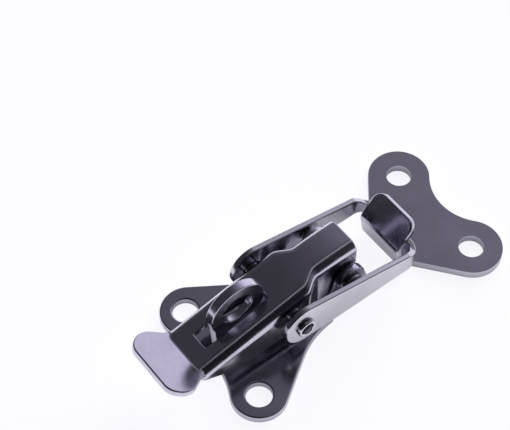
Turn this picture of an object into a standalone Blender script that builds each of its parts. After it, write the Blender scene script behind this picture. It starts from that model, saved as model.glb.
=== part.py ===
"""Over-centre draw latch with a padlock staple and a hooked keeper, shown closed. +X runs from the
latch to the keeper, +Z away from the mounting surface, and the origin is midway between the two
screw holes of the base, on its underside."""

import math

import bmesh
import bpy
from mathutils import Matrix, Vector

MM = 0.001

# Driving dimensions, in millimetres.
SCREW_R = 2.75
PLATE_T = 2.0

BASE_LOBE = (0.4, 12.0)
BASE_LOBE_R = 6.0
BASE_HOLE_Y = 12.45
BASE_BACK_ARC_X = -20.8
BASE_SIDE_ANGLE = 33.7
BASE_SIDE_R = 20.0
BASE_WAIST_Y = 7.6
BASE_FRONT_X = 34.4

EAR_OUT = 6.6
EAR_IN = 4.75
EAR_TOP_R = 3.5
EAR_REAR_X = 23.6
EAR_BEND_R = 2.2

STAPLE_C = (3.6, 16.0)
STAPLE_R = 6.5
STAPLE_HOLE_R = 3.7
STAPLE_REAR_ANGLE = 207
STAPLE_STEM_FRONT = 9.0
STAPLE_HALF_T = 1.0

LEVER_PIVOT = (28.5, 9.5)
LOOP_PIVOT = (14.0, 10.0)
SHANK_R = 1.8
FIXED_HOLE_R = 1.86
RUNNING_HOLE_R = 1.88
RIVET_BORE_R = 1.3
RIVET_MOUTH_R = 1.5
RIVET_HEAD_R = 2.15

LEVER_HALF = 6.5
NECK_HALF = 4.4
LEVER_T = 1.5
LEVER_FOLD_R = 2.5
LEVER_REAR_X = -9.2
LEVER_REAR_Z = 10.7
LEVER_RISE = 0.214
SHOULDER_X = (16.9, 21.5)
TOP_BEND_X = 15.5
NECK_SLOPE = -0.03
NECK_FRONT_X = 31.3
FLANGE_LOW_Z = 4.9
SLOT_X = (-5.2, 10.4)
SLOT_HALF = 2.0
TAB_RISE_ANGLE = 20.5
TAB_LENGTH = 8.45
TAB_HALF = 8.3
TAB_ROOT_HALF = 6.7

LOOP_HALF = 9.5
LOOP_T = 1.35
LOOP_FRONT_X = 45.5
LOOP_CORNER_R = 4.0
LOOP_END_C = (14.2, 10.35)
LOOP_END_R = 5.0
LOOP_TOP_DROP = 0.211
LOOP_LOW_Z = 5.1
LOOP_BAR_TOP_Z = 8.1

KEEPER_X = 57.5
KEEPER_LOBE_Y = 11.8
KEEPER_LOBE_R = 6.7
KEEPER_BACK_ARC_X = 13.6
KEEPER_SIDE_ANGLE = 51.6
HOOK_HALF = 6.0
HOOK_T = 1.6
HOOK_FOOT = (-15.1, 0.0)
HOOK_NOSE = (-16.5, 7.5)
HOOK_TOP = (-11.8, 13.6)
HOOK_CORNER_R = 2.7

BLACK = (0.045, 0.045, 0.055, 1.0)
STEEL = (0.10, 0.10, 0.115, 1.0)
ARC_STEPS = 48


def clear_scene():
    for obj in list(bpy.data.objects):
        bpy.data.objects.remove(obj, do_unlink=True)
    parts = bpy.data.collections.new("draw_latch")
    cutters = bpy.data.collections.new("cutters")
    for collection in (parts, cutters):
        bpy.context.scene.collection.children.link(collection)
    cutters.hide_render = True
    return parts, cutters


def arc(centre, radius, start, end, steps=ARC_STEPS):
    """Points of an arc from one angle to another, in degrees, as fine as a circle of these steps."""
    count = max(2, math.ceil(abs(end - start) / 360 * steps))
    points = []
    for i in range(count + 1):
        a = math.radians(start + (end - start) * i / count)
        points.append((centre[0] + radius * math.cos(a), centre[1] + radius * math.sin(a)))
    return points


def filleted(corners, steps=ARC_STEPS):
    """A closed outline from (x, y, radius) corners."""
    points = []
    for i, (x, y, r) in enumerate(corners):
        here = Vector((x, y))
        back = (Vector(corners[i - 1][:2]) - here).normalized()
        on = (Vector(corners[(i + 1) % len(corners)][:2]) - here).normalized()
        if r <= 0:
            points.append((x, y))
            continue
        half = back.angle(on) / 2
        centre = here + (back + on).normalized() * (r / math.sin(half))
        first = here + back * (r / math.tan(half)) - centre
        last = here + on * (r / math.tan(half)) - centre
        turn = first.angle_signed(last)
        count = max(2, math.ceil(abs(turn) / math.tau * steps))
        for k in range(count + 1):
            a = math.atan2(first.y, first.x) - turn * k / count
            points.append((centre.x + r * math.cos(a), centre.y + r * math.sin(a)))
    return points


def circle(centre, radius, steps=ARC_STEPS):
    return arc(centre, radius, 0, 360, steps)[:-1]


def mirrored(half):
    """A closed outline from its y >= 0 half."""
    return half + [(x, -y) for x, y in reversed(half) if abs(y) > 1e-6]


def prism(name, outlines, low, high, plane, collection):
    """A flat outline, with any holes after it, made solid between two levels of its third axis."""
    curve = bpy.data.curves.new(name, "CURVE")
    curve.dimensions = "2D"
    curve.fill_mode = "BOTH"
    curve.extrude = (high - low) / 2 * MM
    for outline in outlines:
        spline = curve.splines.new("POLY")
        spline.points.add(len(outline) - 1)
        for point, (x, y) in zip(spline.points, outline):
            point.co = (x * MM, y * MM, 0, 1)
        spline.use_cyclic_u = True
    source = bpy.data.objects.new(name + "_curve", curve)
    bpy.context.scene.collection.objects.link(source)
    graph = bpy.context.evaluated_depsgraph_get()
    mesh = bpy.data.meshes.new_from_object(source.evaluated_get(graph))
    bpy.data.objects.remove(source, do_unlink=True)
    turns = {
        "XY": Matrix.Identity(4),
        "XZ": Matrix.Rotation(math.radians(90), 4, "X"),
        "YZ": Matrix(((0, 0, 1, 0), (1, 0, 0, 0), (0, 1, 0, 0), (0, 0, 0, 1))),
    }
    middle = (high + low) / 2 * MM
    shift = {"XY": (0, 0, middle), "XZ": (0, middle, 0), "YZ": (middle, 0, 0)}[plane]
    mesh.transform(Matrix.Translation(shift) @ turns[plane])
    tidy(mesh)
    mesh.name = name
    obj = bpy.data.objects.new(name, mesh)
    collection.objects.link(obj)
    return obj


def tidy(mesh):
    work = bmesh.new()
    work.from_mesh(mesh)
    bmesh.ops.remove_doubles(work, verts=work.verts, dist=2e-7)
    flat = math.radians(0.05)
    bmesh.ops.dissolve_limit(work, angle_limit=flat, verts=work.verts, edges=work.edges)
    bmesh.ops.recalc_face_normals(work, faces=work.faces)
    work.to_mesh(mesh)
    work.free()


def boolean(target, other, operation):
    modifier = target.modifiers.new(operation.lower() + "_" + other.name, "BOOLEAN")
    modifier.operation = operation
    modifier.solver = "EXACT"
    modifier.object = other
    other.hide_render = True
    other.display_type = "WIRE"


def finish(obj, colour, origin=(0, 0, 0)):
    """Gives a piece its material, smooth round faces and its origin, in millimetres."""
    material = bpy.data.materials.new(obj.name + "_finish")
    material.use_nodes = True
    shader = material.node_tree.nodes["Principled BSDF"]
    shader.inputs["Base Color"].default_value = colour
    shader.inputs["Metallic"].default_value = 0.6
    shader.inputs["Roughness"].default_value = 0.35
    obj.data.materials.append(material)
    obj.data.shade_smooth()
    obj.data.set_sharp_from_angle(angle=math.radians(30))
    point = Vector(origin) * MM
    obj.data.transform(Matrix.Translation(-point))
    obj.location = point


# The base: plate, two folded ears and the padlock staple, one pressed piece.


def base_outline():
    lobe_x, lobe_y = BASE_LOBE
    reach = math.hypot(lobe_x - BASE_BACK_ARC_X, lobe_y)
    lean = math.degrees(math.asin(lobe_y / reach))
    back = arc((BASE_BACK_ARC_X, 0), reach - BASE_LOBE_R, 0, lean, 96)
    side = 90 - BASE_SIDE_ANGLE
    lobe = arc(BASE_LOBE, BASE_LOBE_R, 180 + lean, side)
    turn = math.radians(BASE_SIDE_ANGLE)
    start_y = BASE_WAIST_Y + BASE_SIDE_R * (1 - math.cos(turn))
    start_x = lobe[-1][0] + (lobe[-1][1] - start_y) / math.tan(turn)
    centre = (start_x + BASE_SIDE_R * math.sin(turn), BASE_WAIST_Y + BASE_SIDE_R)
    waist = arc(centre, BASE_SIDE_R, 270 - BASE_SIDE_ANGLE, 270, 120)
    waist = [p for p in waist if p[0] < EAR_REAR_X - 0.8]
    notch = [(EAR_REAR_X - 0.3, BASE_WAIST_Y), (EAR_REAR_X + 0.4, EAR_IN + 0.3)]
    return mirrored(back + lobe[1:] + waist + notch)


def ear_section():
    """The folded channel across the ears, in YZ."""
    inner = 0.4
    return filleted(
        [
            (-EAR_OUT, 0, EAR_BEND_R),
            (EAR_OUT, 0, EAR_BEND_R),
            (EAR_OUT, 20, 0),
            (EAR_IN, 20, 0),
            (EAR_IN, PLATE_T, inner),
            (-EAR_IN, PLATE_T, inner),
            (-EAR_IN, 20, 0),
            (-EAR_OUT, 20, 0),
        ]
    )


def ear_profile():
    """The side view of the ears, in XZ, with the pivot hole."""
    x, z = LEVER_PIVOT
    crown = arc(LEVER_PIVOT, EAR_TOP_R, 10, 178)
    foot = [(EAR_REAR_X, 2.4), (EAR_REAR_X, -1), (BASE_FRONT_X, -1), (BASE_FRONT_X, 2.4)]
    return [crown + foot, circle(LEVER_PIVOT, FIXED_HOLE_R)]


def staple_outline():
    front = math.degrees(math.acos((STAPLE_STEM_FRONT - 0.3 - STAPLE_C[0]) / STAPLE_R))
    crown = arc(STAPLE_C, STAPLE_R, -front, STAPLE_REAR_ANGLE)
    feet = [(-1.3, 1.0), (STAPLE_STEM_FRONT - 0.4, 1.0), (STAPLE_STEM_FRONT, 9.0)]
    return [crown + feet, circle(STAPLE_C, STAPLE_HOLE_R)]


def build_base(parts, cutters):
    holes = [circle((0, side * BASE_HOLE_Y), SCREW_R) for side in (1, -1)]
    base = prism("base_plate", [base_outline(), *holes], 0, PLATE_T, "XY", parts)
    ears = prism("ears", [ear_section()], EAR_REAR_X - 1, BASE_FRONT_X + 1, "YZ", cutters)
    side = prism("ear_side", ear_profile(), -9, 9, "XZ", cutters)
    boolean(ears, side, "INTERSECT")
    staple = prism("staple", staple_outline(), -STAPLE_HALF_T, STAPLE_HALF_T, "XZ", cutters)
    boolean(base, ears, "UNION")
    boolean(base, staple, "UNION")
    finish(base, BLACK)


# The lever: a folded channel that narrows to a neck, with a flat finger tab.


def shoulder(x):
    """0 over the wide body, 1 over the neck, a smooth S between."""
    low, high = SHOULDER_X
    t = min(max((x - low) / (high - low), 0), 1)
    return t * t * (3 - 2 * t)


def lever_top(x):
    """A straight rise from the rear that eases over to the neck's slope."""
    past = max(x - TOP_BEND_X, 0)
    ease = (LEVER_RISE - NECK_SLOPE) / (NECK_FRONT_X - TOP_BEND_X)
    return LEVER_REAR_Z + LEVER_RISE * (x - LEVER_REAR_X) - ease * past * past / 2


def lever_section(x):
    """The channel cut across X, as a closed ring of one point count: outer skin, then inner."""
    half = LEVER_HALF + (NECK_HALF - LEVER_HALF) * shoulder(x)
    top = lever_top(x)
    foot = 1.0
    ring = []
    for inset in (0, LEVER_T):
        r = LEVER_FOLD_R - inset
        corner = (half - LEVER_FOLD_R, top - LEVER_FOLD_R)
        side = [(half - inset, foot)] + arc(corner, r, 0, 90, 32)
        skin = side + [(-y, z) for y, z in reversed(side)]
        ring += skin if inset == 0 else skin[::-1]
    return [(x, y, z) for y, z in ring]


def lever_channel(collection):
    low, high = SHOULDER_X
    stations = [LEVER_REAR_X - 0.2, 4.0, TOP_BEND_X]
    stations += [low + (high - low) * i / 8 for i in range(9)]
    stations += [high + (NECK_FRONT_X + 1 - high) * i / 4 for i in range(1, 5)]
    work = bmesh.new()
    rings = [
        [work.verts.new(Vector(point) * MM) for point in lever_section(x)] for x in stations
    ]
    for a, b in zip(rings, rings[1:]):
        for i in range(len(a)):
            work.faces.new((a[i - 1], a[i], b[i], b[i - 1]))
    work.faces.new(rings[0])
    work.faces.new(rings[-1])
    bmesh.ops.recalc_face_normals(work, faces=work.faces)
    mesh = bpy.data.meshes.new("lever")
    work.to_mesh(mesh)
    work.free()
    channel = bpy.data.objects.new("lever", mesh)
    collection.objects.link(channel)
    return channel


def lever_side():
    """Side view of the channel, in XZ: what the flanges are trimmed to."""
    return filleted(
        [
            (LEVER_REAR_X, 8.7, 0),
            (-6.5, 7.3, 2),
            (-3.2, 5.6, 4),
            (0.6, FLANGE_LOW_Z, 3),
            (NECK_FRONT_X, FLANGE_LOW_Z, 2.5),
            (NECK_FRONT_X, 22, 0),
            (LEVER_REAR_X, 22, 0),
        ]
    )


def tab_outline():
    """The finger tab seen square on: x is measured back from the bend along the slope."""
    corners = [
        (0.9, TAB_ROOT_HALF - 0.4, 0),
        (0.0, TAB_ROOT_HALF - 0.4, 1.0),
        (-3.3, TAB_HALF, 3.0),
        (-5.6, TAB_HALF, 3.6),
        (-TAB_LENGTH, TAB_HALF - 1.9, 3.6),
        (-TAB_LENGTH, 0, 0),
    ]
    corners += [(x, -y, r) for x, y, r in reversed(corners[:-1])]
    return filleted(corners)


def build_lever(parts, cutters):
    lever = lever_channel(parts)
    boolean(lever, prism("lever_side", [lever_side()], -12, 12, "XZ", cutters), "INTERSECT")
    tab = prism("tab", [tab_outline()], -LEVER_T, 0, "XY", cutters)
    lift = Matrix.Rotation(math.radians(TAB_RISE_ANGLE), 4, "Y")
    bend = Vector((LEVER_REAR_X, 0, LEVER_REAR_Z)) * MM
    tab.data.transform(Matrix.Translation(bend) @ lift)
    boolean(lever, tab, "UNION")
    slot = [(SLOT_X[0], -SLOT_HALF), (SLOT_X[1], -SLOT_HALF)]
    slot += [(SLOT_X[1], SLOT_HALF), (SLOT_X[0], SLOT_HALF)]
    boolean(lever, prism("slot", [slot], 2, 25, "XY", cutters), "DIFFERENCE")
    pivot = circle(LEVER_PIVOT, RUNNING_HOLE_R)
    boolean(lever, prism("neck_bore", [pivot], -12, 12, "XZ", cutters), "DIFFERENCE")
    pivot = circle(LOOP_PIVOT, FIXED_HOLE_R)
    boolean(lever, prism("flange_bore", [pivot], -12, 12, "XZ", cutters), "DIFFERENCE")
    finish(lever, BLACK, (LEVER_PIVOT[0], 0, LEVER_PIVOT[1]))


# The loop: a flat strip bent into a bail, pivoted on the lever's flanges.


def loop_plan():
    """Seen from above: arms open at the rear, joined by the front bar."""
    outer = LOOP_HALF
    inner = LOOP_HALF - LOOP_T
    rear = LOOP_PIVOT[0] - LOOP_END_R - 1
    front = LOOP_FRONT_X
    return filleted(
        [
            (rear, -outer, 0),
            (front, -outer, LOOP_CORNER_R),
            (front, outer, LOOP_CORNER_R),
            (rear, outer, 0),
            (rear, inner, 0),
            (front - LOOP_T, inner, LOOP_CORNER_R - LOOP_T),
            (front - LOOP_T, -inner, LOOP_CORNER_R - LOOP_T),
            (rear, -inner, 0),
        ]
    )


def loop_side():
    """Side view, with the rivet hole: a round end, tapering to the bar."""
    x = LOOP_END_C[0]
    drop = math.degrees(math.atan(LOOP_TOP_DROP))
    end = arc(LOOP_END_C, LOOP_END_R, 90 - drop, 270, 60)
    front = LOOP_FRONT_X + 1
    knee = (41.8, end[0][1] - LOOP_TOP_DROP * (41.8 - end[0][0]))
    line = [(x + 8, LOOP_LOW_Z), (front, LOOP_LOW_Z), (front, LOOP_BAR_TOP_Z)]
    line += [(44.0, LOOP_BAR_TOP_Z + 0.1), knee]
    return [end + line, circle(LOOP_PIVOT, RUNNING_HOLE_R)]


def build_loop(parts, cutters):
    loop = prism("loop", [loop_plan()], 0, 20, "XY", parts)
    boolean(loop, prism("loop_side", loop_side(), -12, 12, "XZ", cutters), "INTERSECT")
    finish(loop, STEEL, (LOOP_PIVOT[0], 0, LOOP_PIVOT[1]))


# Tubular rivets, each a turned profile about its own axis.


def rivet(name, seats, pivot, middle, parts):
    """seats: y of the outer faces that the two rolled heads bear on, low then high."""
    low, high = seats
    head = 0.75
    steps = 6
    profile = []
    for i in range(steps + 1):
        a = math.pi / 2 * i / steps
        r = RIVET_HEAD_R - 0.35 + 0.35 * math.sin(a)
        profile.append((r, high + head - 0.35 + 0.35 * math.cos(a)))
    profile += [(RIVET_HEAD_R, high), (SHANK_R, high), (SHANK_R, low), (RIVET_HEAD_R, low)]
    for i in range(steps + 1):
        a = math.pi / 2 * i / steps
        r = RIVET_HEAD_R - 0.35 + 0.35 * math.cos(a)
        profile.append((r, low - head + 0.35 - 0.35 * math.sin(a)))
    profile += [(RIVET_MOUTH_R, low - head), (RIVET_BORE_R, low - head + 0.8)]
    profile += [(RIVET_BORE_R, high + head - 0.8), (RIVET_MOUTH_R, high + head)]
    work = bmesh.new()
    rim = [work.verts.new((r * MM, 0, y * MM)) for r, y in profile]
    for a, b in zip(rim, rim[1:] + rim[:1]):
        work.edges.new((a, b))
    mesh = bpy.data.meshes.new(name)
    work.to_mesh(mesh)
    work.free()
    obj = bpy.data.objects.new(name, mesh)
    parts.objects.link(obj)
    screw = obj.modifiers.new("turned", "SCREW")
    screw.angle = math.tau
    screw.steps = screw.render_steps = ARC_STEPS
    screw.use_merge_vertices = True
    screw.merge_threshold = 0.00005
    obj.rotation_euler = (math.radians(-90), 0, 0)
    finish(obj, STEEL)
    obj.location = Vector((pivot[0], middle, pivot[1])) * MM


def build_rivets(parts):
    gap = 0.12
    seat = EAR_OUT + gap
    rivet("lever_rivet", (-seat, seat), LEVER_PIVOT, 0, parts)
    inner = LEVER_HALF - LEVER_T - gap
    outer = LOOP_HALF + gap
    rivet("loop_rivet_far", (inner, outer), LOOP_PIVOT, 0, parts)
    rivet("loop_rivet_near", (-outer, -inner), LOOP_PIVOT, 0, parts)


# The keeper: a screwed plate whose tongue folds up into the hook.


def keeper_outline():
    reach = math.hypot(KEEPER_BACK_ARC_X, KEEPER_LOBE_Y)
    lean = math.degrees(math.asin(KEEPER_LOBE_Y / reach))
    back = arc((KEEPER_BACK_ARC_X, 0), reach - KEEPER_LOBE_R, 180, 180 - lean, 96)
    side = 90 + KEEPER_SIDE_ANGLE
    lobe = arc((0, KEEPER_LOBE_Y), KEEPER_LOBE_R, -lean, side)
    turn = math.radians(KEEPER_SIDE_ANGLE)
    x, y = lobe[-1]
    corner_x = x - (y - HOOK_HALF) / math.tan(turn)
    run = 1.2
    before = (corner_x + run * math.cos(turn), HOOK_HALF + run * math.sin(turn))
    tongue = [before, (corner_x - 0.25, HOOK_HALF + 0.22), (corner_x - run, HOOK_HALF)]
    tongue.append((HOOK_FOOT[0] + 0.2, HOOK_HALF))
    outline = mirrored(back + lobe[1:] + tongue)
    return [(KEEPER_X + x, y) for x, y in outline]


def hook_section():
    """Side view of the folded tongue: a strip of constant thickness, in XZ."""
    corners = [Vector((-11.0, 0)), Vector(HOOK_FOOT), Vector(HOOK_NOSE), Vector(HOOK_TOP)]
    outer = [(corners[0].x, 0, 0), (*HOOK_FOOT, 2.6), (*HOOK_NOSE, 2.3), (*HOOK_TOP, 0)]
    inner = []
    for i, here in enumerate(corners):
        sides = []
        if i > 0:
            along = (here - corners[i - 1]).normalized()
            sides.append(Vector((along.y, -along.x)))
        if i < 3:
            along = (corners[i + 1] - here).normalized()
            sides.append(Vector((along.y, -along.x)))
        if len(sides) == 1:
            offset = sides[0] * HOOK_T
        else:
            split = (sides[0] + sides[1]).normalized()
            offset = split * (HOOK_T / split.dot(sides[0]))
        point = here + offset
        inner.append((point.x, point.y, (0, 0.8, 0.5, 0)[i]))
    return [(KEEPER_X + x, z) for x, z in filleted(outer + inner[::-1])]


def hook_face(cutters):
    """The tongue seen square on to its lip, as a block through the fold: rounds the lip's corners."""
    nose = Vector(HOOK_NOSE)
    lip = Vector(HOOK_TOP) - nose
    top = lip.length - 0.05
    wide = HOOK_HALF
    corner = HOOK_CORNER_R
    face = filleted([(-12, -wide, 0), (top, -wide, corner), (top, wide, corner), (-12, wide, 0)])
    block = prism("hook_face", [face], -14, 4, "XY", cutters)
    lean = Matrix.Rotation(-math.atan2(lip.y, lip.x), 4, "Y")
    at = Vector((KEEPER_X + nose.x, 0, nose.y)) * MM
    block.data.transform(Matrix.Translation(at) @ lean)
    return block


def build_keeper(parts, cutters):
    holes = [circle((KEEPER_X, side * KEEPER_LOBE_Y), SCREW_R) for side in (1, -1)]
    keeper = prism("keeper_plate", [keeper_outline(), *holes], 0, PLATE_T, "XY", parts)
    toe = [(KEEPER_X + HOOK_FOOT[0] + 1.0, -7), (KEEPER_X + HOOK_FOOT[0] - 3, -7)]
    toe += [(x, -y) for x, y in reversed(toe)]
    boolean(keeper, prism("toe_trim", [toe], -1, 3, "XY", cutters), "DIFFERENCE")
    hook = prism("hook", [hook_section()], -HOOK_HALF, HOOK_HALF, "XZ", cutters)
    boolean(hook, hook_face(cutters), "INTERSECT")
    boolean(keeper, hook, "UNION")
    finish(keeper, BLACK, (KEEPER_X, 0, 0))


def main():
    parts, cutters = clear_scene()
    build_base(parts, cutters)
    build_lever(parts, cutters)
    build_loop(parts, cutters)
    build_rivets(parts)
    build_keeper(parts, cutters)


main()
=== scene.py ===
import math

import bmesh
import bpy
from mathutils import Matrix, Vector


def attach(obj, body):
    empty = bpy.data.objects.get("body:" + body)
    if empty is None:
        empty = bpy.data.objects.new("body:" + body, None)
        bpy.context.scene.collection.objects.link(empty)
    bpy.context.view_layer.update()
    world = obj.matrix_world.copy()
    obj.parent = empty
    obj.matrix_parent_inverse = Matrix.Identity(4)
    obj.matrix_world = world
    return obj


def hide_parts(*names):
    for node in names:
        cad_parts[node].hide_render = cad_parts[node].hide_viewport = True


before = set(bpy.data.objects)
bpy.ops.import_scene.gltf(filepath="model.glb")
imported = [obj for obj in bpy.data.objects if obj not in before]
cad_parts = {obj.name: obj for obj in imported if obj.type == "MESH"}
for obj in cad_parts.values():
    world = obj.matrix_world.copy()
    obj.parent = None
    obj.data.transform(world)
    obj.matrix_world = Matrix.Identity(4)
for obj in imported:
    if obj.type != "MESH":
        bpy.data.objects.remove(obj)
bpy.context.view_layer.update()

# Every length below is in millimetres in the row's frame, and MM turns it into metres.
MM = 0.001
ARC_STEPS = 96

SCREW_R = 2.75
PLATE_T = 2.0
BASE_LOBE = (0.4, 12.0)
BASE_LOBE_R = 6.0
BASE_HOLE_Y = 12.45
BASE_BACK_ARC_X = -20.8
BASE_SIDE_ANGLE = 33.7
BASE_SIDE_R = 20.0
BASE_WAIST_Y = 7.6
BASE_FRONT_X = 34.4
EAR_OUT = 6.6
EAR_IN = 4.75
EAR_TOP_R = 3.5
EAR_REAR_X = 23.6
EAR_BEND_R = 2.2
EAR_FOOT_Z = 2.4
STAPLE_C = (3.6, 16.0)
STAPLE_R = 6.5
STAPLE_HOLE_R = 3.7
STAPLE_REAR_ANGLE = 207
STAPLE_STEM_FRONT = 9.0
STAPLE_HALF_T = 1.0
LEVER_PIVOT = (28.5, 9.5)
LOOP_PIVOT = (14.0, 10.0)
SHANK_R = 1.8
FIXED_HOLE_R = 1.86
RUNNING_HOLE_R = 1.88
RIVET_BORE_R = 1.3
RIVET_HEAD_R = 2.15
RIVET_HEAD_T = 0.75
RIVET_CURL_R = 0.37
RIVET_MOUTH_DEPTH = 0.9
RIVET_GAP = 0.12
LEVER_HALF = 6.5
NECK_HALF = 4.4
LEVER_T = 1.5
LEVER_FOLD_R = 2.5
LEVER_REAR_X = -9.2
LEVER_REAR_Z = 10.7
LEVER_RISE = 0.214
SHOULDER_X = (16.9, 21.5)
TOP_BEND_X = 15.5
NECK_SLOPE = -0.03
NECK_FRONT_X = 31.3
FLANGE_LOW_Z = 4.9
SLOT_X = (-5.2, 10.4)
SLOT_HALF = 2.0
TAB_RISE_ANGLE = 20.5
TAB_LENGTH = 8.45
TAB_HALF = 8.3
TAB_ROOT_HALF = 6.7
LOOP_HALF = 9.5
LOOP_T = 1.35
LOOP_FRONT_X = 45.5
LOOP_CORNER_R = 4.0
LOOP_END_C = (14.2, 10.35)
LOOP_END_R = 5.0
LOOP_TOP_DROP = 0.211
LOOP_LOW_Z = 5.1
LOOP_BAR_TOP_Z = 8.1
LOOP_KNEE_X = 41.8
LOOP_STEP_X = 44.0
KEEPER_X = 57.5
KEEPER_LOBE_Y = 11.8
KEEPER_LOBE_R = 6.7
KEEPER_BACK_ARC_X = 13.6
KEEPER_SIDE_ANGLE = 51.6
HOOK_HALF = 6.0
HOOK_T = 1.6
HOOK_FOOT = (-15.1, 0.0)
HOOK_NOSE = (-16.5, 7.5)
HOOK_TOP = (-11.8, 13.6)
HOOK_CORNER_R = 2.7

# How wide each piece's edges are broken, and which edges count as sharp, in degrees.
PLATE_BREAK = 0.4
FOLDED_BREAK = 0.3
STAPLE_BREAK = 0.25
BREAK_ANGLE = 27
CREASE_ANGLE = 40
SHORTEST_EDGE = 0.06

CAMERA_AT = (-95.2, -134.45, 283.55)
CAMERA_LOOK = (0.352, 0.456, -0.817)
CAMERA_LENS = 112.94


# Outlines.


def arc(centre, radius, start, end, steps=ARC_STEPS):
    count = max(2, math.ceil(abs(end - start) / 360 * steps))
    points = []
    for i in range(count + 1):
        a = math.radians(start + (end - start) * i / count)
        points.append((centre[0] + radius * math.cos(a), centre[1] + radius * math.sin(a)))
    return points


def filleted(corners):
    """A closed outline from (x, y, radius) corners."""
    points = []
    for i, (x, y, r) in enumerate(corners):
        here = Vector((x, y))
        back = (Vector(corners[i - 1][:2]) - here).normalized()
        on = (Vector(corners[(i + 1) % len(corners)][:2]) - here).normalized()
        if r <= 0:
            points.append((x, y))
            continue
        half = back.angle(on) / 2
        centre = here + (back + on).normalized() * (r / math.sin(half))
        first = here + back * (r / math.tan(half)) - centre
        last = here + on * (r / math.tan(half)) - centre
        turn = first.angle_signed(last)
        count = max(2, math.ceil(abs(turn) / math.tau * ARC_STEPS))
        for k in range(count + 1):
            a = math.atan2(first.y, first.x) - turn * k / count
            points.append((centre.x + r * math.cos(a), centre.y + r * math.sin(a)))
    return points


def circle(centre, radius):
    return arc(centre, radius, 0, 360)[:-1]


def mirrored(half):
    return half + [(x, -y) for x, y in reversed(half) if abs(y) > 1e-6]


# Solids.


def baked(obj):
    graph = bpy.context.evaluated_depsgraph_get()
    mesh = bpy.data.meshes.new_from_object(obj.evaluated_get(graph))
    obj.modifiers.clear()
    obj.data = mesh
    return obj


def tidy(mesh, flat=0.05, merge=0.0002):
    work = bmesh.new()
    work.from_mesh(mesh)
    bmesh.ops.remove_doubles(work, verts=work.verts, dist=merge * MM)
    angle = math.radians(flat)
    bmesh.ops.dissolve_limit(work, angle_limit=angle, verts=work.verts, edges=work.edges)
    bmesh.ops.recalc_face_normals(work, faces=work.faces)
    work.to_mesh(mesh)
    work.free()


def placed(name, mesh):
    obj = bpy.data.objects.new(name, mesh)
    bpy.context.scene.collection.objects.link(obj)
    return obj


def prism(name, outlines, low, high, plane):
    """A flat outline, with any holes after it, made solid between two levels of its third axis."""
    curve = bpy.data.curves.new(name, "CURVE")
    curve.dimensions = "2D"
    curve.fill_mode = "BOTH"
    curve.extrude = (high - low) / 2 * MM
    for outline in outlines:
        spline = curve.splines.new("POLY")
        spline.points.add(len(outline) - 1)
        for point, (x, y) in zip(spline.points, outline):
            point.co = (x * MM, y * MM, 0, 1)
        spline.use_cyclic_u = True
    source = placed(name + "_curve", curve)
    graph = bpy.context.evaluated_depsgraph_get()
    mesh = bpy.data.meshes.new_from_object(source.evaluated_get(graph))
    bpy.data.objects.remove(source, do_unlink=True)
    turns = {
        "XY": Matrix.Identity(4),
        "XZ": Matrix.Rotation(math.radians(90), 4, "X"),
        "YZ": Matrix(((0, 0, 1, 0), (1, 0, 0, 0), (0, 1, 0, 0), (0, 0, 0, 1))),
    }
    middle = (high + low) / 2 * MM
    shift = {"XY": (0, 0, middle), "XZ": (0, middle, 0), "YZ": (middle, 0, 0)}[plane]
    mesh.transform(Matrix.Translation(shift) @ turns[plane])
    tidy(mesh)
    return placed(name, mesh)


def boolean(target, other, operation):
    modifier = target.modifiers.new("join", "BOOLEAN")
    modifier.operation = operation
    modifier.solver = "EXACT"
    modifier.object = other
    baked(target)
    bpy.data.objects.remove(other, do_unlink=True)


def break_edges(obj, width):
    """Breaks sharp edges, as tumbling leaves pressed sheet.

    A free bevel keeps its full width, but a short edge can throw a point far out. A result that
    leaves the piece's own box is made again with the width clamped, or is left crisp if that fails.
    """
    tidy(obj.data, 0.4, SHORTEST_EDGE)
    crisp = obj.data.copy()
    low, high = corners_of(obj.data)
    for clamp in (False, True):
        bevel = obj.modifiers.new("edges", "BEVEL")
        bevel.width = width * MM
        bevel.segments = 3
        bevel.limit_method = "ANGLE"
        bevel.angle_limit = math.radians(BREAK_ANGLE)
        bevel.use_clamp_overlap = clamp
        bevel.miter_outer = "MITER_ARC"
        baked(obj)
        new_low, new_high = corners_of(obj.data)
        past = max([a - b for a, b in zip(low, new_low)] + [b - a for a, b in zip(high, new_high)])
        if past < 1e-6:
            break
        obj.data = crisp.copy()
    return obj


def corners_of(mesh):
    spread = [[vert.co[i] for vert in mesh.vertices] for i in range(3)]
    return [min(values) for values in spread], [max(values) for values in spread]


def smoothed(obj):
    obj.data.shade_smooth()
    obj.data.set_sharp_from_angle(angle=math.radians(CREASE_ANGLE))
    normals = obj.modifiers.new("normals", "WEIGHTED_NORMAL")
    normals.keep_sharp = True
    return obj


# Pieces.


def base_outline():
    lobe_x, lobe_y = BASE_LOBE
    reach = math.hypot(lobe_x - BASE_BACK_ARC_X, lobe_y)
    lean = math.degrees(math.asin(lobe_y / reach))
    back = arc((BASE_BACK_ARC_X, 0), reach - BASE_LOBE_R, 0, lean, 180)
    side = 90 - BASE_SIDE_ANGLE
    lobe = arc(BASE_LOBE, BASE_LOBE_R, 180 + lean, side)
    turn = math.radians(BASE_SIDE_ANGLE)
    start_y = BASE_WAIST_Y + BASE_SIDE_R * (1 - math.cos(turn))
    start_x = lobe[-1][0] + (lobe[-1][1] - start_y) / math.tan(turn)
    centre = (start_x + BASE_SIDE_R * math.sin(turn), BASE_WAIST_Y + BASE_SIDE_R)
    waist = arc(centre, BASE_SIDE_R, 270 - BASE_SIDE_ANGLE, 270, 240)
    waist = [p for p in waist if p[0] < EAR_REAR_X - 0.8]
    notch = [(EAR_REAR_X - 0.3, BASE_WAIST_Y), (EAR_REAR_X + 0.4, EAR_IN + 0.3)]
    return mirrored(back + lobe[1:] + waist + notch)


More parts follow.
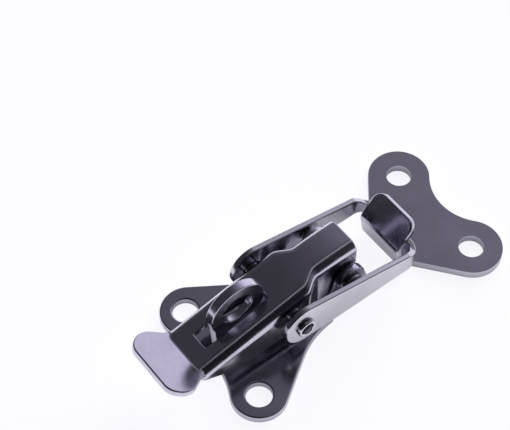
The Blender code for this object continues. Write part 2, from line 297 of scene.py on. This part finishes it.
def ear_section():
    inner = 0.4
    return filleted(
        [
            (-EAR_OUT, 0, EAR_BEND_R),
            (EAR_OUT, 0, EAR_BEND_R),
            (EAR_OUT, 20, 0),
            (EAR_IN, 20, 0),
            (EAR_IN, PLATE_T, inner),
            (-EAR_IN, PLATE_T, inner),
            (-EAR_IN, 20, 0),
            (-EAR_OUT, 20, 0),
        ]
    )


def ear_profile():
    crown = arc(LEVER_PIVOT, EAR_TOP_R, 10, 178)
    rear, front = EAR_REAR_X, BASE_FRONT_X
    foot = [(rear, EAR_FOOT_Z), (rear, -1), (front, -1), (front, EAR_FOOT_Z)]
    return [crown + foot, circle(LEVER_PIVOT, FIXED_HOLE_R)]


def staple_outline():
    front = math.degrees(math.acos((STAPLE_STEM_FRONT - 0.3 - STAPLE_C[0]) / STAPLE_R))
    crown = arc(STAPLE_C, STAPLE_R, -front, STAPLE_REAR_ANGLE)
    feet = [(-1.3, 1.0), (STAPLE_STEM_FRONT - 0.4, 1.0), (STAPLE_STEM_FRONT, 9.0)]
    return [crown + feet, circle(STAPLE_C, STAPLE_HOLE_R)]


def build_base():
    holes = [circle((0, side * BASE_HOLE_Y), SCREW_R) for side in (1, -1)]
    base = prism("base_plate_visual", [base_outline(), *holes], 0, PLATE_T, "XY")
    ears = prism("ears", [ear_section()], EAR_REAR_X - 1, BASE_FRONT_X + 1, "YZ")
    boolean(ears, prism("ear_side", ear_profile(), -9, 9, "XZ"), "INTERSECT")
    boolean(break_edges(base, PLATE_BREAK), break_edges(ears, FOLDED_BREAK), "UNION")
    staple = prism("staple", staple_outline(), -STAPLE_HALF_T, STAPLE_HALF_T, "XZ")
    boolean(base, break_edges(staple, STAPLE_BREAK), "UNION")
    return smoothed(base)


def shoulder(x):
    low, high = SHOULDER_X
    t = min(max((x - low) / (high - low), 0), 1)
    return t * t * (3 - 2 * t)


def lever_top(x):
    """A straight rise from the rear that eases over to the neck's slope."""
    past = max(x - TOP_BEND_X, 0)
    ease = (LEVER_RISE - NECK_SLOPE) / (NECK_FRONT_X - TOP_BEND_X)
    return LEVER_REAR_Z + LEVER_RISE * (x - LEVER_REAR_X) - ease * past * past / 2


def lever_section(x):
    half = LEVER_HALF + (NECK_HALF - LEVER_HALF) * shoulder(x)
    top = lever_top(x)
    ring = []
    for inset in (0, LEVER_T):
        r = LEVER_FOLD_R - inset
        corner = (half - LEVER_FOLD_R, top - LEVER_FOLD_R)
        side = [(half - inset, 1.0)] + arc(corner, r, 0, 90, 64)
        skin = side + [(-y, z) for y, z in reversed(side)]
        ring += skin if inset == 0 else skin[::-1]
    return [(x, y, z) for y, z in ring]


def lever_channel():
    low, high = SHOULDER_X
    stations = [LEVER_REAR_X - 0.2, 4.0, TOP_BEND_X]
    stations += [low + (high - low) * i / 20 for i in range(21)]
    stations += [high + (NECK_FRONT_X + 1 - high) * i / 8 for i in range(1, 9)]
    work = bmesh.new()
    rings = [
        [work.verts.new(Vector(point) * MM) for point in lever_section(x)] for x in stations
    ]
    for a, b in zip(rings, rings[1:]):
        for i in range(len(a)):
            work.faces.new((a[i - 1], a[i], b[i], b[i - 1]))
    work.faces.new(rings[0])
    work.faces.new(rings[-1])
    bmesh.ops.recalc_face_normals(work, faces=work.faces)
    mesh = bpy.data.meshes.new("lever_visual")
    work.to_mesh(mesh)
    work.free()
    return placed("lever_visual", mesh)


def lever_side():
    return filleted(
        [
            (LEVER_REAR_X, 8.7, 0),
            (-6.5, 7.3, 2),
            (-3.2, 5.6, 4),
            (0.6, FLANGE_LOW_Z, 3),
            (NECK_FRONT_X, FLANGE_LOW_Z, 2.5),
            (NECK_FRONT_X, 22, 0),
            (LEVER_REAR_X, 22, 0),
        ]
    )


def tab_outline():
    corners = [
        (0.9, TAB_ROOT_HALF - 0.4, 0),
        (0.0, TAB_ROOT_HALF - 0.4, 1.0),
        (-3.3, TAB_HALF, 3.0),
        (-5.6, TAB_HALF, 3.6),
        (-TAB_LENGTH, TAB_HALF - 1.9, 3.6),
        (-TAB_LENGTH, 0, 0),
    ]
    corners += [(x, -y, r) for x, y, r in reversed(corners[:-1])]
    return filleted(corners)


def build_lever():
    lever = lever_channel()
    boolean(lever, prism("lever_side", [lever_side()], -12, 12, "XZ"), "INTERSECT")
    tab = prism("tab", [tab_outline()], -LEVER_T, 0, "XY")
    lift = Matrix.Rotation(math.radians(TAB_RISE_ANGLE), 4, "Y")
    bend = Vector((LEVER_REAR_X, 0, LEVER_REAR_Z)) * MM
    tab.data.transform(Matrix.Translation(bend) @ lift)
    boolean(lever, tab, "UNION")
    slot = [(SLOT_X[0], -SLOT_HALF), (SLOT_X[1], -SLOT_HALF)]
    slot += [(SLOT_X[1], SLOT_HALF), (SLOT_X[0], SLOT_HALF)]
    boolean(lever, prism("slot", [slot], 2, 25, "XY"), "DIFFERENCE")
    bore = circle(LEVER_PIVOT, RUNNING_HOLE_R)
    boolean(lever, prism("neck_bore", [bore], -12, 12, "XZ"), "DIFFERENCE")
    bore = circle(LOOP_PIVOT, FIXED_HOLE_R)
    boolean(lever, prism("flange_bore", [bore], -12, 12, "XZ"), "DIFFERENCE")
    return smoothed(break_edges(lever, FOLDED_BREAK))


def loop_plan():
    outer = LOOP_HALF
    inner = LOOP_HALF - LOOP_T
    rear = LOOP_PIVOT[0] - LOOP_END_R - 1
    front = LOOP_FRONT_X
    return filleted(
        [
            (rear, -outer, 0),
            (front, -outer, LOOP_CORNER_R),
            (front, outer, LOOP_CORNER_R),
            (rear, outer, 0),
            (rear, inner, 0),
            (front - LOOP_T, inner, LOOP_CORNER_R - LOOP_T),
            (front - LOOP_T, -inner, LOOP_CORNER_R - LOOP_T),
            (rear, -inner, 0),
        ]
    )


def loop_side():
    x = LOOP_END_C[0]
    drop = math.degrees(math.atan(LOOP_TOP_DROP))
    end = arc(LOOP_END_C, LOOP_END_R, 90 - drop, 270, 120)
    front = LOOP_FRONT_X + 1
    knee = (LOOP_KNEE_X, end[0][1] - LOOP_TOP_DROP * (LOOP_KNEE_X - end[0][0]))
    line = [(x + 8, LOOP_LOW_Z), (front, LOOP_LOW_Z), (front, LOOP_BAR_TOP_Z)]
    line += [(LOOP_STEP_X, LOOP_BAR_TOP_Z + 0.1), knee]
    return [end + line, circle(LOOP_PIVOT, RUNNING_HOLE_R)]


def build_loop():
    loop = prism("loop_visual", [loop_plan()], 0, 20, "XY")
    boolean(loop, prism("loop_side", loop_side(), -12, 12, "XZ"), "INTERSECT")
    return smoothed(break_edges(loop, FOLDED_BREAK))


def build_rivet(name, low, high, pivot):
    """A tubular rivet turned about Y: two rolled heads on a plain shank."""
    head = RIVET_HEAD_T
    curl = RIVET_CURL_R
    steps = 10
    profile = []
    for i in range(steps + 1):
        a = math.pi * (i / steps - 0.08)
        x = RIVET_HEAD_R - curl - curl * math.cos(a)
        profile.append((x, high + head - curl + curl * math.sin(a)))
    profile += [(RIVET_HEAD_R, high), (SHANK_R, high), (SHANK_R, low), (RIVET_HEAD_R, low)]
    for i in range(steps + 1):
        a = math.pi * i / steps
        x = RIVET_HEAD_R - curl + curl * math.cos(a)
        profile.append((x, low - head + curl - curl * math.sin(a)))
    mouth = RIVET_MOUTH_DEPTH - head
    profile += [(RIVET_BORE_R, low + mouth), (RIVET_BORE_R, high - mouth)]
    work = bmesh.new()
    rim = [work.verts.new((r * MM, 0, y * MM)) for r, y in profile]
    for a, b in zip(rim, rim[1:] + rim[:1]):
        work.edges.new((a, b))
    mesh = bpy.data.meshes.new(name)
    work.to_mesh(mesh)
    work.free()
    obj = placed(name, mesh)
    screw = obj.modifiers.new("turned", "SCREW")
    screw.angle = math.tau
    screw.steps = screw.render_steps = ARC_STEPS
    screw.use_merge_vertices = True
    screw.merge_threshold = 0.00001
    screw.use_smooth_shade = True
    baked(obj)
    turn = Matrix.Rotation(math.radians(-90), 4, "X")
    where = Vector((pivot[0], 0, pivot[1])) * MM
    obj.data.transform(Matrix.Translation(where) @ turn)
    tidy(obj.data, 0.01)
    obj.data.shade_smooth()
    obj.data.set_sharp_from_angle(angle=math.radians(50))
    return obj


def keeper_outline():
    reach = math.hypot(KEEPER_BACK_ARC_X, KEEPER_LOBE_Y)
    lean = math.degrees(math.asin(KEEPER_LOBE_Y / reach))
    back = arc((KEEPER_BACK_ARC_X, 0), reach - KEEPER_LOBE_R, 180, 180 - lean, 180)
    side = 90 + KEEPER_SIDE_ANGLE
    lobe = arc((0, KEEPER_LOBE_Y), KEEPER_LOBE_R, -lean, side)
    turn = math.radians(KEEPER_SIDE_ANGLE)
    x, y = lobe[-1]
    corner_x = x - (y - HOOK_HALF) / math.tan(turn)
    run = 1.2
    before = (corner_x + run * math.cos(turn), HOOK_HALF + run * math.sin(turn))
    tongue = [before, (corner_x - 0.25, HOOK_HALF + 0.22), (corner_x - run, HOOK_HALF)]
    tongue.append((HOOK_FOOT[0] + 1.0, HOOK_HALF))
    outline = mirrored(back + lobe[1:] + tongue)
    return [(KEEPER_X + x, y) for x, y in outline]


def hook_section():
    corners = [Vector((-11.0, 0)), Vector(HOOK_FOOT), Vector(HOOK_NOSE), Vector(HOOK_TOP)]
    outer = [(corners[0].x, 0, 0), (*HOOK_FOOT, 2.6), (*HOOK_NOSE, 2.3), (*HOOK_TOP, 0)]
    inner = []
    for i, here in enumerate(corners):
        sides = []
        if i > 0:
            along = (here - corners[i - 1]).normalized()
            sides.append(Vector((along.y, -along.x)))
        if i < 3:
            along = (corners[i + 1] - here).normalized()
            sides.append(Vector((along.y, -along.x)))
        if len(sides) == 1:
            offset = sides[0] * HOOK_T
        else:
            split = (sides[0] + sides[1]).normalized()
            offset = split * (HOOK_T / split.dot(sides[0]))
        point = here + offset
        inner.append((point.x, point.y, (0, 0.8, 0.5, 0)[i]))
    return [(KEEPER_X + x, z) for x, z in filleted(outer + inner[::-1])]


def hook_face():
    """The tongue seen square on to its lip, as a block through the fold: rounds the lip's corners."""
    nose = Vector(HOOK_NOSE)
    lip = Vector(HOOK_TOP) - nose
    top = lip.length - 0.05
    wide = HOOK_HALF
    corner = HOOK_CORNER_R
    face = filleted([(-12, -wide, 0), (top, -wide, corner), (top, wide, corner), (-12, wide, 0)])
    block = prism("hook_face", [face], -14, 4, "XY")
    lean = Matrix.Rotation(-math.atan2(lip.y, lip.x), 4, "Y")
    at = Vector((KEEPER_X + nose.x, 0, nose.y)) * MM
    block.data.transform(Matrix.Translation(at) @ lean)
    return block


def build_keeper():
    holes = [circle((KEEPER_X, side * KEEPER_LOBE_Y), SCREW_R) for side in (1, -1)]
    keeper = prism("keeper_plate_visual", [keeper_outline(), *holes], 0, PLATE_T, "XY")
    hook = prism("hook", [hook_section()], -HOOK_HALF, HOOK_HALF, "XZ")
    boolean(hook, hook_face(), "INTERSECT")
    boolean(break_edges(keeper, PLATE_BREAK), break_edges(hook, PLATE_BREAK), "UNION")
    return smoothed(keeper)


# Finishes.


def mapped(tree, source, given, wanted):
    """A Map Range node that takes one range of a value to another."""
    node = tree.nodes.new("ShaderNodeMapRange")
    node.inputs["From Min"].default_value, node.inputs["From Max"].default_value = given
    node.inputs["To Min"].default_value, node.inputs["To Max"].default_value = wanted
    tree.links.new(source, node.inputs["Value"])
    return node


def coated(name, colour, rough, peel):
    """Glossy black finish on steel: slight orange peel, faint clouding and fine rubbed specks."""
    material = bpy.data.materials.new(name)
    material.use_nodes = True
    tree = material.node_tree
    shader = tree.nodes["Principled BSDF"]
    shader.inputs["Metallic"].default_value = 1
    shader.inputs["Coat Weight"].default_value = 0.3
    shader.inputs["Coat Roughness"].default_value = 0.06
    where = tree.nodes.new("ShaderNodeTexCoord")

    def noise(scale, detail, roughness=0.5):
        node = tree.nodes.new("ShaderNodeTexNoise")
        node.inputs["Scale"].default_value = scale
        node.inputs["Detail"].default_value = detail
        node.inputs["Roughness"].default_value = roughness
        tree.links.new(where.outputs["Object"], node.inputs["Vector"])
        return node.outputs["Fac"]

    def mix(factor, first, second):
        node = tree.nodes.new("ShaderNodeMix")
        node.data_type = "RGBA"
        tree.links.new(factor, node.inputs["Factor"])
        for socket, value in ((node.inputs[6], first), (node.inputs[7], second)):
            if isinstance(value, tuple):
                socket.default_value = value
            else:
                tree.links.new(value, socket)
        return node.outputs[2]

    dark = tuple(c * 0.94 for c in colour) + (1,)
    light = tuple(min(c * 1.06, 1) for c in colour) + (1,)
    rubbed = tuple(min(c * 2.2, 1) for c in colour) + (1,)
    cloud = mapped(tree, noise(120, 3), (0.35, 0.65), (0, 1)).outputs["Result"]
    body = mix(cloud, dark, light)
    fleck = mapped(tree, noise(2600, 2, 0.7), (0.70, 0.76), (0, 0.5)).outputs["Result"]
    tree.links.new(mix(fleck, body, rubbed), shader.inputs["Base Color"])
    sheen = mapped(tree, noise(900, 5), (0.3, 0.7), (rough * 0.85, rough * 1.2))
    tree.links.new(sheen.outputs["Result"], shader.inputs["Roughness"])
    bump = tree.nodes.new("ShaderNodeBump")
    bump.inputs["Strength"].default_value = peel
    bump.inputs["Distance"].default_value = 0.0002
    tree.links.new(noise(700, 3), bump.inputs["Height"])
    tree.links.new(bump.outputs["Normal"], shader.inputs["Normal"])
    return material


# Stage.


def split_xyz(tree, output):
    """The X, Y and Z of one of the texture coordinates."""
    where = tree.nodes.new("ShaderNodeTexCoord")
    split = tree.nodes.new("ShaderNodeSeparateXYZ")
    tree.links.new(where.outputs[output], split.inputs[0])
    return split.outputs


def floor_glow_with_painted_shadow(tree):
    """How brightly the floor glows into the metal, though it is no lamp: a painted shadow darkens it
    under the latch, and painted shade dims it far behind the latch.
    """
    across = split_xyz(tree, "Object")["X"]
    # Painted shade: the floor's glow dims far behind the latch.
    painted_far_shade = mapped(tree, across, (-0.20, -0.05), (0.08, 1.1))
    painted_far_shade.interpolation_type = "SMOOTHSTEP"
    # Painted shadow: ambient occlusion darkens the floor's glow under and around the latch.
    shade = tree.nodes.new("ShaderNodeAmbientOcclusion")
    shade.inputs["Distance"].default_value = 0.012
    painted_shadow = tree.nodes.new("ShaderNodeMath")
    painted_shadow.operation = "POWER"
    painted_shadow.inputs[1].default_value = 1.3
    tree.links.new(shade.outputs["AO"], painted_shadow.inputs[0])
    glow = tree.nodes.new("ShaderNodeMath")
    glow.operation = "MULTIPLY"
    tree.links.new(painted_shadow.outputs[0], glow.inputs[0])
    tree.links.new(painted_far_shade.outputs["Result"], glow.inputs[1])
    return glow.outputs[0]


def build_floor():
    bpy.ops.mesh.primitive_plane_add(size=6, location=(0, 0, -0.00003))
    floor = bpy.context.object
    floor.name = "floor"
    material = bpy.data.materials.new("pale_floor")
    material.use_nodes = True
    tree = material.node_tree
    shader = tree.nodes["Principled BSDF"]
    shader.inputs["Base Color"].default_value = (0.92, 0.92, 0.93, 1)
    shader.inputs["Roughness"].default_value = 0.7
    shader.inputs["Specular IOR Level"].default_value = 0.1
    shader.inputs["Emission Color"].default_value = (0.97, 0.97, 1.0, 1)
    # Camera rays see the floor evenly lit. Rays off the metal see its glow, with the painted shadow
    # under the latch and the painted shade far behind it.
    rays = tree.nodes.new("ShaderNodeLightPath")
    strength = tree.nodes.new("ShaderNodeMix")
    strength.inputs[3].default_value = 0.86
    tree.links.new(rays.outputs["Is Camera Ray"], strength.inputs[0])
    tree.links.new(floor_glow_with_painted_shadow(tree), strength.inputs[2])
    tree.links.new(strength.outputs[0], shader.inputs["Emission Strength"])
    floor.data.materials.append(material)


def sky_colour(tree):
    """A soft studio that brightens towards +X and dims towards -Y."""
    facing = split_xyz(tree, "Generated")
    spread = mapped(tree, facing["X"], (-1, 1), (0, 1))
    ramp = tree.nodes.new("ShaderNodeValToRGB")
    tree.links.new(spread.outputs["Result"], ramp.inputs["Fac"])
    stops = [(0.0, 0.06), (0.48, 0.07), (0.60, 0.12), (0.676, 0.19)]
    stops += [(0.75, 0.33), (0.825, 0.62), (0.90, 1.20), (1.0, 1.3)]
    elements = ramp.color_ramp.elements
    elements.remove(elements[1])
    for i, (place, value) in enumerate(stops):
        stop = elements[0] if i == 0 else elements.new(place)
        stop.position = place
        stop.color = (value * 0.98, value * 0.94, value * 1.10, 1)
    near = mapped(tree, facing["Y"], (-0.35, 0.35), (0.2, 1))
    dimmed = tree.nodes.new("ShaderNodeVectorMath")
    dimmed.operation = "SCALE"
    tree.links.new(ramp.outputs["Color"], dimmed.inputs[0])
    tree.links.new(near.outputs["Result"], dimmed.inputs["Scale"])
    return dimmed.outputs[0]


def build_world():
    world = bpy.data.worlds.new("studio")
    bpy.context.scene.world = world
    world.use_nodes = True
    tree = world.node_tree
    rays = tree.nodes.new("ShaderNodeLightPath")
    shown = tree.nodes.new("ShaderNodeMix")
    shown.data_type = "RGBA"
    shown.inputs[7].default_value = (0.95, 0.95, 0.96, 1)
    tree.links.new(rays.outputs["Is Camera Ray"], shown.inputs["Factor"])
    tree.links.new(sky_colour(tree), shown.inputs[6])
    tree.links.new(shown.outputs[2], tree.nodes["Background"].inputs["Color"])


def softbox(name, toward, long, wide, energy):
    """A rectangular lamp 1 m away in a direction, its long side along X."""
    light = bpy.data.lights.new(name, "AREA")
    light.shape = "RECTANGLE"
    light.size = long
    light.size_y = wide
    light.energy = energy
    lamp = bpy.data.objects.new(name, light)
    bpy.context.scene.collection.objects.link(lamp)
    back = Vector(toward).normalized()
    side = Vector((1, 0, 0))
    up = back.cross(side).normalized()
    side = up.cross(back)
    turn = Matrix((side, up, back)).transposed().to_4x4()
    lamp.matrix_world = Matrix.Translation(back) @ turn


def build_camera():
    data = bpy.data.cameras.new("camera")
    data.lens = CAMERA_LENS
    data.sensor_width = 36
    data.clip_start = 0.01
    camera = bpy.data.objects.new("camera", data)
    bpy.context.scene.collection.objects.link(camera)
    camera.location = Vector(CAMERA_AT) * MM
    camera.rotation_mode = "QUATERNION"
    camera.rotation_quaternion = Vector(CAMERA_LOOK).to_track_quat("-Z", "Y")
    bpy.context.scene.camera = camera


def main():
    build_camera()
    build_floor()
    build_world()
    # The thin lights along the folds of the lever and its neck.
    softbox("fold_light", (0.22, -0.20, 0.95), 0.75, 0.16, 0.2)

    sheet = coated("black_sheet_finish", (0.47, 0.45, 0.54), 0.20, 0.004)
    strip = coated("black_strip_finish", (0.46, 0.45, 0.50), 0.18, 0.012)
    steel = coated("rivet_finish", (0.46, 0.45, 0.50), 0.20, 0.012)
    seat = EAR_OUT + RIVET_GAP
    inner = LEVER_HALF - LEVER_T - RIVET_GAP
    outer = LOOP_HALF + RIVET_GAP
    pieces = [
        (build_base(), "base", "base_plate", "black_sheet", sheet),
        (build_lever(), "lever", "lever", "black_sheet", sheet),
        (build_loop(), "loop", "loop", "black_strip", strip),
        (build_keeper(), "keeper", "keeper_plate", "black_sheet", sheet),
    ]
    rivets = [
        ("lever_rivet", "base", -seat, seat, LEVER_PIVOT),
        ("loop_rivet_far", "lever", inner, outer, LOOP_PIVOT),
        ("loop_rivet_near", "lever", -outer, -inner, LOOP_PIVOT),
    ]
    for node, body, low, high, pivot in rivets:
        rivet = build_rivet(node + "_visual", low, high, pivot)
        pieces.append((rivet, body, node, "rivet_steel", steel))
    for piece, body, node, slot, material in pieces:
        piece.data.materials.clear()
        piece.data.materials.append(material)
        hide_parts(node)
        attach(piece, body)
    bpy.context.scene.view_settings.view_transform = "Standard"


main()
